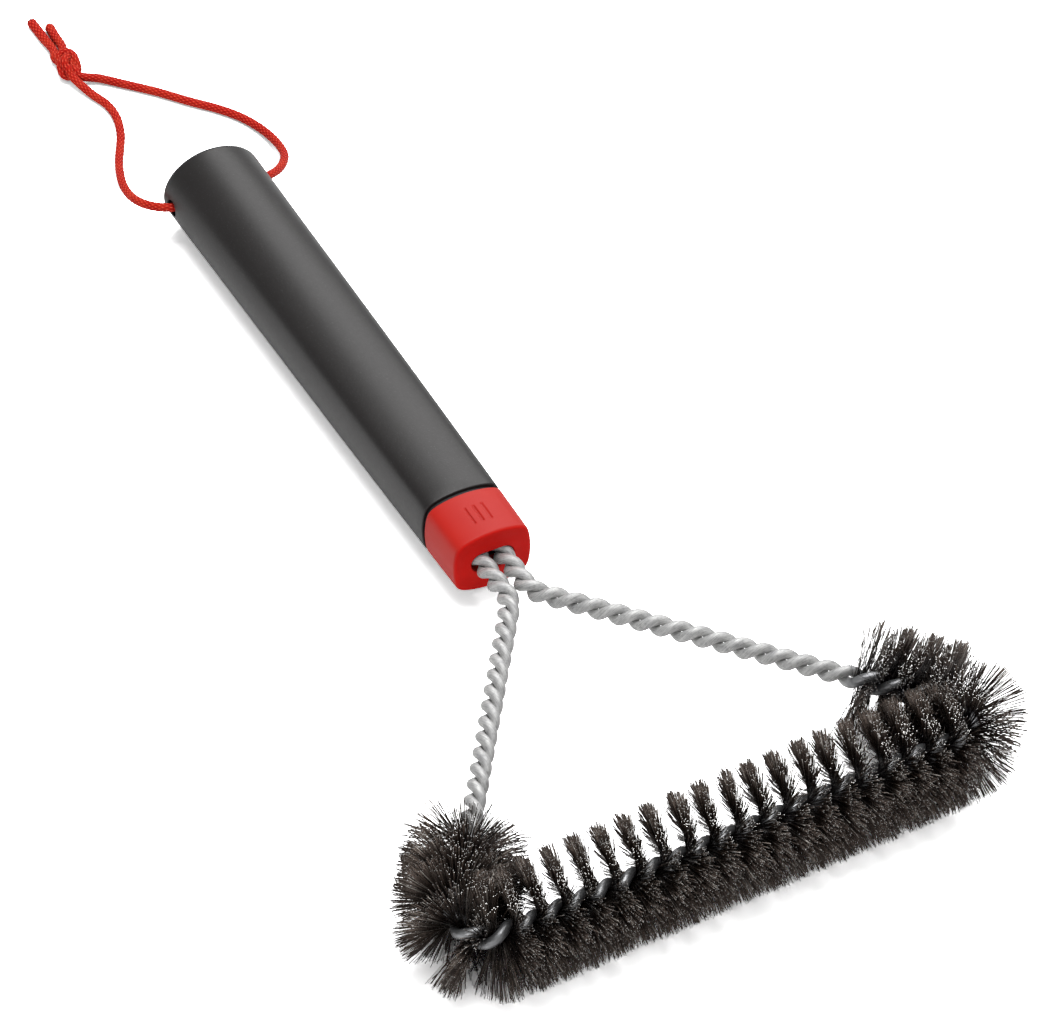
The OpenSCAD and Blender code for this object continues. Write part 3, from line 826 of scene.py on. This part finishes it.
def build_cord():
    line = cord_path()
    # a light smoothing of the whole line, ends fixed
    for _ in range(6):
        line[1:-1] = line[1:-1] * 0.5 + (line[:-2] + line[2:]) * 0.25
    tangent = unit(np.gradient(line, axis=0))
    normal = carried_normals(tangent)
    across = np.cross(tangent, normal)
    s = path_lengths(line)
    around = 2 * math.pi * np.arange(CORD_SIDES) / CORD_SIDES
    height = braid_height(around, s)
    r = CORD_D / 2 - BRAID_IN + BRAID_RELIEF * height
    from_start, to_end = s[:, None], (s[-1] - s)[:, None]
    nearest = np.minimum(from_start, to_end)
    # the braid has relaxed in the cut tails
    r = r * (1 + 0.17 * smoothstep((15 - nearest) / 9))
    # the right tail ends heat-sealed and rounded, the left one is cut flat
    r = r * np.sqrt(np.clip(1 - (1 - np.clip(to_end / 1.3, 0, 1)) ** 2, 0.02, 1))
    r = r * (0.9 + 0.1 * smoothstep(from_start / 0.5))
    points = line[:, None] + r[..., None] * (
        normal[:, None] * np.cos(around)[None, :, None]
        + across[:, None] * np.sin(around)[None, :, None])
    # behind the handle the cord stays above the ground
    y, z = points[..., 1], points[..., 2]
    points[..., 2] = np.where(y > 4, np.maximum(z, ground(y) + 0.02), z)
    cord = tube("hanging_cord_braid", points, line[[0, -1]], tiles=7, flip=True,
                flat_groups=(1,))
    # the braid's relief, which the material also uses to paint shade in the valleys and
    # highlights on the crowns
    add_attribute(cord, "braid", height.ravel(), [0.2, 0.2])
    cut = 1 - smoothstep(nearest.ravel() / 0.9)
    add_attribute(cord, "cut_end", np.repeat(cut, CORD_SIDES), [1, 1])
    return cord


# ------------------------------------------------------------------ materials


class Material:
    """Builds a node material. Methods take and return sockets."""

    def __init__(self, name):
        self.mat = bpy.data.materials.new(name)
        self.mat.use_nodes = True
        self.tree = self.mat.node_tree
        self.tree.nodes.clear()
        self.output = self.add("ShaderNodeOutputMaterial")
        self.bsdf = self.add("ShaderNodeBsdfPrincipled")
        self.feed(self.output, "Surface", self.bsdf.outputs["BSDF"])

    def add(self, kind, **props):
        node = self.tree.nodes.new(kind)
        for key, value in props.items():
            setattr(node, key, value)
        return node

    def feed(self, node, key, value):
        """Sets an input to a number or colour, or links a socket to it."""
        if isinstance(value, bpy.types.NodeSocket):
            self.tree.links.new(value, node.inputs[key])
        else:
            node.inputs[key].default_value = (*value, 1) if isinstance(value, tuple) else value

    def surface(self, inputs):
        for key, value in inputs.items():
            self.feed(self.bsdf, key, value)

    def coords(self):
        return self.add("ShaderNodeTexCoord").outputs["Object"]

    def attribute(self, name):
        return self.add("ShaderNodeAttribute", attribute_name=name).outputs["Fac"]

    def separate(self, vector):
        node = self.add("ShaderNodeSeparateXYZ")
        self.feed(node, "Vector", vector)
        return node.outputs

    def noise(self, vector, scale, detail=3.0, roughness=0.5):
        node = self.add("ShaderNodeTexNoise")
        self.feed(node, "Scale", scale)
        self.feed(node, "Detail", detail)
        self.feed(node, "Roughness", roughness)
        self.feed(node, "Vector", vector)
        return node.outputs["Fac"]

    def ramp(self, value, stops):
        """stops are (position, colour)."""
        node = self.add("ShaderNodeValToRGB")
        elements = node.color_ramp.elements
        while len(elements) < len(stops):
            elements.new(0.5)
        for element, (position, colour) in zip(elements, stops):
            element.position = position
            element.color = (*colour, 1)
        self.feed(node, "Fac", value)
        return node.outputs["Color"]

    def span(self, value, to=(0.0, 1.0), over=(0.0, 1.0)):
        """Maps the range over onto the range to."""
        node = self.add("ShaderNodeMapRange")
        for key, number in zip(("From Min", "From Max", "To Min", "To Max"), (*over, *to)):
            self.feed(node, key, number)
        self.feed(node, "Value", value)
        return node.outputs["Result"]

    def mix(self, factor, a, b, blend="MIX"):
        node = self.add("ShaderNodeMix", data_type="RGBA", blend_type=blend)
        self.feed(node, "Factor", factor)
        self.feed(node, 6, a)
        self.feed(node, 7, b)
        return node.outputs[2]

    def multiply(self, a, b):
        node = self.add("ShaderNodeMath", operation="MULTIPLY")
        self.feed(node, 0, a)
        self.feed(node, 1, b)
        return node.outputs["Value"]

    def no_bounce(self, colour):
        """The colour, but neutral where it would only tint the floor."""
        path = self.add("ShaderNodeLightPath")
        return self.mix(path.outputs["Is Diffuse Ray"], colour, (0.13, 0.12, 0.12))

    def bump(self, height, strength, distance, below=None):
        node = self.add("ShaderNodeBump")
        self.feed(node, "Strength", strength)
        self.feed(node, "Distance", distance)
        self.feed(node, "Height", height)
        if below is not None:
            self.feed(node, "Normal", below)
        return node.outputs["Normal"]


def handle_material():
    m = Material("satin_charcoal")
    coords = m.coords()
    fine = m.noise(coords, scale=2600, detail=2.0, roughness=0.6)
    grain = m.noise(coords, scale=900, detail=4.0, roughness=0.6)
    broad = m.noise(coords, scale=28)
    base = m.ramp(broad, [(0.25, (0.0105, 0.0088, 0.0086)), (0.75, (0.0145, 0.0125, 0.0122))])
    fleck = m.span(fine, over=(0.62, 0.74))
    fine_bump = m.bump(fine, strength=0.22, distance=0.00006)
    m.surface({
        "Base Color": m.mix(fleck, base, (0.035, 0.034, 0.036)),
        "Roughness": m.span(grain, to=(0.33, 0.45)),
        "Metallic": 0.08,
        "Specular IOR Level": 0.46,
        "Normal": m.bump(grain, strength=0.18, distance=0.00008, below=fine_bump)})
    return m.mat


def red_material():
    m = Material("satin_red")
    coords = m.coords()
    fine = m.noise(coords, scale=1900, roughness=0.6)
    broad = m.noise(coords, scale=60)
    base = m.ramp(broad, [(0.2, (0.47, 0.012, 0.008)), (0.8, (0.53, 0.018, 0.010))])
    # painted light: the front face, picked out by the way it faces, gets a brighter, deeper red
    # than the sides, and a lower specular level so that it looks duller
    normal = m.add("ShaderNodeNewGeometry").outputs["Normal"]
    side = m.span(m.separate(normal)["Y"], over=(-0.9, -0.35))
    m.surface({
        "Base Color": m.no_bounce(m.mix(side, (0.62, 0.012, 0.009), base)),
        "Roughness": m.span(fine, to=(0.40, 0.52)),
        "Specular IOR Level": m.span(side, to=(0.04, 0.21)),
        "Normal": m.bump(fine, strength=0.12, distance=0.00006)})
    return m.mat


def black_material():
    m = Material("moulded_black")
    fine = m.noise(m.coords(), scale=1500, roughness=0.6)
    m.surface({
        "Base Color": m.ramp(fine, [(0.3, (0.008, 0.008, 0.009)), (0.7, (0.014, 0.014, 0.015))]),
        "Roughness": m.span(fine, to=(0.45, 0.62)),
        "Normal": m.bump(fine, strength=0.15, distance=0.00006)})
    return m.mat


def wire_material():
    m = Material("galvanised_wire")
    coords = m.coords()
    # a coordinate that is stretched along the wire, for drawing marks
    stretched = m.add("ShaderNodeCombineXYZ")
    m.feed(stretched, "X", m.attribute("round_c"))
    m.feed(stretched, "Y", m.attribute("round_s"))
    m.feed(stretched, "Z", m.multiply(m.attribute("lengthwise"), 0.045))
    streak = m.noise(stretched.outputs["Vector"], scale=9, detail=4.0, roughness=0.6)
    patch = m.noise(coords, scale=420, detail=4.0, roughness=0.55)
    spangle = m.noise(coords, scale=1500, roughness=0.6)
    bright = m.ramp(patch, [(0.28, (0.46, 0.46, 0.465)), (0.5, (0.575, 0.575, 0.57)),
                            (0.72, (0.645, 0.645, 0.635))])
    lined = m.mix(m.span(streak, to=(0.0, 0.75), over=(0.44, 0.66)),
                  bright, (0.46, 0.46, 0.46), "MULTIPLY")
    spangled = m.mix(m.span(spangle, to=(0.5, 0.0), over=(0.34, 0.5)),
                     lined, (0.62, 0.62, 0.62), "MULTIPLY")
    # painted shade: between the filaments the wire's colour is made darker, and the wire is made
    # glossier
    painted_pack_shade = m.mix(m.span(patch, over=(0.35, 0.65)),
                 (0.19, 0.193, 0.20), (0.36, 0.365, 0.375))
    gloss = m.span(m.attribute("in_pack"), to=(1.0, 0.52))
    streak_bump = m.bump(streak, strength=0.4, distance=0.0001)
    m.surface({
        "Base Color": m.mix(m.attribute("in_pack"), spangled, painted_pack_shade),
        "Metallic": 0.62,
        "Roughness": m.multiply(m.span(patch, to=(0.68, 0.54)), gloss),
        "Normal": m.bump(spangle, strength=0.35, distance=0.00008, below=streak_bump)})
    return m.mat


def ferrule_material():
    m = Material("crimped_steel")
    stretch = m.add("ShaderNodeMapping")
    stretch.inputs["Scale"].default_value = (1, 0.06, 1)
    m.feed(stretch, "Vector", m.coords())
    streak = m.noise(stretch.outputs["Vector"], scale=1800, detail=4.0, roughness=0.6)
    m.surface({
        "Base Color": m.ramp(streak, [(0.3, (0.42, 0.42, 0.43)), (0.7, (0.62, 0.62, 0.63))]),
        "Metallic": 1.0,
        "Roughness": m.span(streak, to=(0.3, 0.48)),
        "Normal": m.bump(streak, strength=0.2, distance=0.00005)})
    return m.mat


def filament_material():
    m = Material("dark_steel_filament")
    place = m.separate(m.add("ShaderNodeUVMap", uv_map="OFBake").outputs["UV"])
    along = m.ramp(place["X"], [
        (0.0, (0.044, 0.038, 0.034)), (0.5, (0.046, 0.034, 0.027)),
        (0.8, (0.051, 0.037, 0.029)), (0.95, (0.064, 0.048, 0.038))])
    own = m.ramp(place["Y"], [
        (0.0, (0.44, 0.40, 0.38)), (0.70, (0.95, 0.86, 0.80)),
        (0.88, (1.8, 1.8, 1.8)), (1.0, (6.4, 8.2, 9.6))])
    shank = m.mix(1.0, along, own, "MULTIPLY")
    cut_tip = m.span(place["X"], over=(0.957, 0.965))
    fine = m.noise(m.coords(), scale=1600, detail=2.0)
    m.surface({
        "Base Color": m.mix(cut_tip, shank, (0.88, 0.87, 0.85)),
        "Metallic": 0.7,
        "Specular IOR Level": 0.9,
        "Roughness": m.span(fine, to=(0.18, 0.4)),
        "Normal": m.bump(fine, strength=0.15, distance=0.00004)})
    return m.mat


def cord_material():
    m = Material("braided_red_cord")
    coords = m.coords()
    fibre = m.noise(coords, scale=5200, roughness=0.6)
    broad = m.noise(coords, scale=240)
    height = m.attribute("braid")
    # painted shade and painted highlight: the colour follows the braid's relief, dark red in the
    # valleys between the yarns and pale orange on the crowns
    base = m.ramp(height, [(0.1, (0.20, 0.003, 0.002)), (0.5, (0.52, 0.009, 0.004)),
                           (0.86, (0.70, 0.030, 0.014)), (0.99, (0.92, 0.24, 0.15))])
    tinted = m.mix(m.span(broad, to=(0.0, 0.28), over=(0.45, 0.75)),
                   base, (0.80, 0.09, 0.03))
    fibre_shade = m.ramp(fibre, [(0.25, (0.72, 0.72, 0.72)), (0.75, (1.15, 1.15, 1.15))])
    shaded = m.mix(1.0, tinted, fibre_shade, "MULTIPLY")
    cut = m.mix(m.attribute("cut_end"), shaded, (0.20, 0.008, 0.008))
    m.surface({
        "Base Color": m.no_bounce(cut),
        "Roughness": m.span(height, to=(0.72, 0.55)),
        "Specular IOR Level": 0.10,
        "Sheen Weight": 0.03,
        "Sheen Roughness": 0.4,
        "Normal": m.bump(fibre, strength=0.35, distance=0.00007)})
    return m.mat


def floor_material():
    m = Material("pale_floor")
    broad = m.noise(m.coords(), scale=9)
    m.surface({
        "Base Color": m.ramp(broad, [(0.3, (0.90, 0.90, 0.90)), (0.7, (0.92, 0.92, 0.92))]),
        "Roughness": 0.9,
        "Specular IOR Level": 0.1})
    # the camera sees an overexposed floor, where only deep shade shows
    seen = m.add("ShaderNodeBsdfDiffuse")
    m.feed(seen, "Color", (2.95, 2.95, 2.95))
    pick = m.add("ShaderNodeMixShader")
    m.feed(pick, "Fac", m.add("ShaderNodeLightPath").outputs["Is Camera Ray"])
    m.feed(pick, 1, m.bsdf.outputs["BSDF"])
    m.feed(pick, 2, seen.outputs["BSDF"])
    m.feed(m.output, "Surface", pick.outputs["Shader"])
    return m.mat


def dress(obj, material):
    obj.data.materials.clear()
    obj.data.materials.append(material)


# ------------------------------------------------------------------ build


def fit(obj, material, body, node):
    """Dresses a piece and puts it in the place of a CAD node."""
    dress(obj, material)
    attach(obj, body)
    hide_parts(node)


wire = wire_material()
filament = filament_material()
fit(build_sleeve(), handle_material(), "brush", "handle_sleeve")
fit(build_collar(), red_material(), "brush", "collar")
dress(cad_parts["handle_core"], black_material())
dress(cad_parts["stem_ferrule"], ferrule_material())
for letter, phase in (("a", TWIST), ("b", TWIST + math.pi)):
    fit(build_strand("stem_strand_" + letter, phase), wire, "brush",
        "wire_strand_" + letter)

DENSITY = 64.0                          # filaments per mm of stem
CORNER_DENSITY = DENSITY * 0.74
# piece, CAD node, start, end, density, (thin, comb, comb_low, loose)
PACK_PIECES = (
    ("arm_left", "arm_left", PACK_START, LEFT_BEND_START, DENSITY,
     ((6, 0), 0.0, 0, 0.75)),
    ("corner_left", "corner_left", LEFT_BEND_START, LEFT_BEND_END, CORNER_DENSITY,
     ((0, 0), 0.0, 0, 0.7)),
    ("bar_left", "bar", LEFT_BEND_END, BAR_MID, DENSITY, ((0, 0), 1.0, 0, 0.0)),
    ("bar_right", "bar", BAR_MID, RIGHT_BEND_START, DENSITY, ((0, 0), 1.0, 0, 0.0)),
    ("corner_right", "corner_right", RIGHT_BEND_START, RIGHT_BEND_END, CORNER_DENSITY,
     ((0, 0), 0.3, 0, 0.5)),
    ("arm_right", "arm_right", RIGHT_BEND_END, PACK_END, DENSITY,
     ((0, 9), 0.6, 0.5, 0.15)))
for seed, (piece, node, start, end, per_mm, style) in enumerate(PACK_PIECES, 100):
    fit(build_filaments("filaments_" + piece, start, end, per_mm, seed, *style),
        filament, "brush", "bristles_" + node)

fit(build_cord(), cord_material(), "cord", "hanging_cord")

# ------------------------------------------------------------------ stage

FLOOR_HALF, FLOOR_Y, FLOOR_DROP = 6000.0, -150, 0.05
LIGHT_TARGET = Vector((0.0, -0.12, 0.0))


def build_floor():
    front, back = FLOOR_Y - FLOOR_HALF, FLOOR_Y + FLOOR_HALF
    verts = [(x, y, ground(y) - FLOOR_DROP) for x, y in (
        (-FLOOR_HALF, front), (FLOOR_HALF, front), (FLOOR_HALF, back), (-FLOOR_HALF, back))]
    floor = mesh_object("studio_floor", verts, [[[0, 1, 2, 3]]], flat_groups=(0,))
    dress(floor, floor_material())


def area(name, place, size, power, shine_only=False):
    """An area light aimed at the brush; shine_only lights give reflections only."""
    data = bpy.data.lights.new(name, "AREA")
    data.shape = "RECTANGLE"
    data.size, data.size_y = size
    data.energy = power
    light = bpy.data.objects.new(name, data)
    light.location = place
    light.rotation_mode = "QUATERNION"
    light.rotation_quaternion = (LIGHT_TARGET - Vector(place)).to_track_quat("-Z", "Y")
    light.visible_diffuse = not shine_only
    bpy.context.scene.collection.objects.link(light)


def build_world(seen, lighting):
    """A white world: seen is its strength to the camera, lighting to the rest."""
    world = bpy.data.worlds.new("studio")
    bpy.context.scene.world = world
    world.use_nodes = True
    tree = world.node_tree
    background = tree.nodes["Background"]
    background.inputs["Color"].default_value = (1, 1, 1, 1)
    path = tree.nodes.new("ShaderNodeLightPath")
    strength = tree.nodes.new("ShaderNodeMapRange")
    strength.inputs["To Min"].default_value = lighting
    strength.inputs["To Max"].default_value = seen
    tree.links.new(path.outputs["Is Camera Ray"], strength.inputs["Value"])
    tree.links.new(strength.outputs["Result"], background.inputs["Strength"])


def build_camera(aim, distance, yaw, tip, roll, lens):
    """A camera at a distance (mm) from aim, with its angles in radians."""
    data = bpy.data.cameras.new("camera")
    camera = bpy.data.objects.new("camera", data)
    bpy.context.scene.collection.objects.link(camera)
    back = np.array([math.sin(yaw) * math.cos(tip), -math.cos(yaw) * math.cos(tip),
                     math.sin(tip)])
    right = np.array([math.cos(yaw), math.sin(yaw), 0.0])
    up = np.cross(back, right)
    right, up = (right * math.cos(roll) + up * math.sin(roll),
                 up * math.cos(roll) - right * math.sin(roll))
    matrix = Matrix([[right[k], up[k], back[k], 0] for k in range(3)] + [[0, 0, 0, 1]])
    matrix.translation = Vector((np.array(aim) + back * distance) * MM)
    camera.matrix_world = matrix
    data.sensor_fit = "HORIZONTAL"
    data.sensor_width = 36.0
    data.lens = lens
    data.clip_start, data.clip_end = 0.05, 100.0
    bpy.context.scene.camera = camera


build_floor()
area("key", place=(1.05, 1.12, 1.2), size=(1.65, 1.0), power=16.7, shine_only=True)
area("top", place=(0.30, 0.10, 2.0), size=(1.5, 1.5), power=39)
area("fill", place=(-1.2, -1.1, 0.6), size=(0.9, 0.6), power=4.2)
area("spark", place=(0.9, -1.2, 1.3), size=(0.16, 0.16), power=3.5)
build_world(seen=1.0, lighting=0.34)
build_camera(aim=(15.48, 11.94 + FACE_Y, 0.0), distance=2000.0, yaw=radians(-26.93),
             tip=radians(42.61), roll=radians(-0.29), lens=266.2150333)
bpy.context.scene.view_settings.view_transform = "Standard"
bpy.context.scene.view_settings.look = "None"
